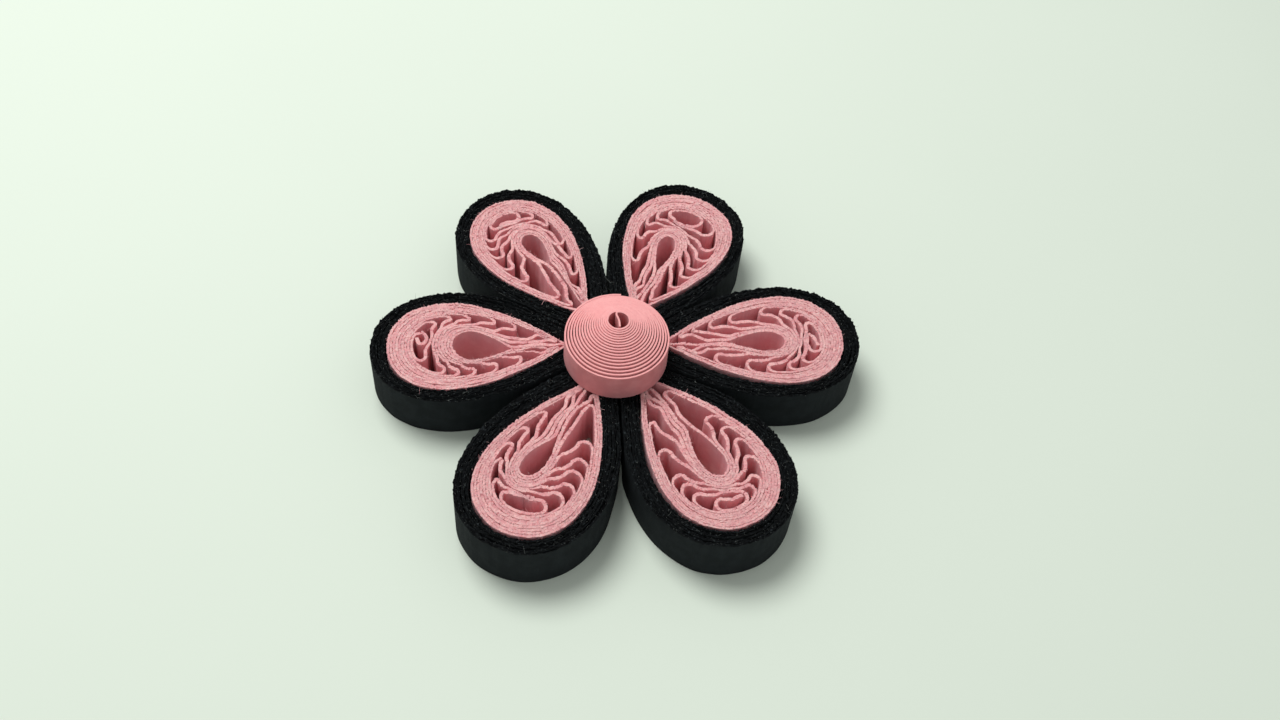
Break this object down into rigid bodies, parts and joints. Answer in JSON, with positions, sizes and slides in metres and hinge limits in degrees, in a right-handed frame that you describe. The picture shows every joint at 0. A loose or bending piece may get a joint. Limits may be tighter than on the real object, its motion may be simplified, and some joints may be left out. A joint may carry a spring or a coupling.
{
  "type": "quilled paper flower",
  "caption": "Flat flower of rolled paper strips: teardrop petals with folded-back coils in rolled borders, round a coned centre coil.",
  "frame": {"origin": "middle of the box round the flower, on the plane of its flat back", "axes": "+Z out of the petals' upper edges towards the coned centre; +X along the first petal"},
  "size_m": [0.0444, 0.0404, 0.0105],
  "materials": {
    "pink_paper": "matte craft paper, fibrous cut edges",
    "center_pink_paper": "matte craft paper, smooth face",
    "black_paper": "matte craft paper, fibrous cut edges"
  },
  "bodies": {
    "root": {"petal_1_coil": "pink_paper", "petal_2_coil": "pink_paper", "petal_3_coil": "pink_paper", "petal_4_coil": "pink_paper", "petal_5_coil": "pink_paper", "petal_6_coil": "pink_paper", "petal_1_border": "black_paper", "petal_2_border": "black_paper", "petal_3_border": "black_paper", "petal_4_border": "black_paper", "petal_5_border": "black_paper", "petal_6_border": "black_paper", "center_cone_coil": "center_pink_paper"}
  },
  "joints": []
}
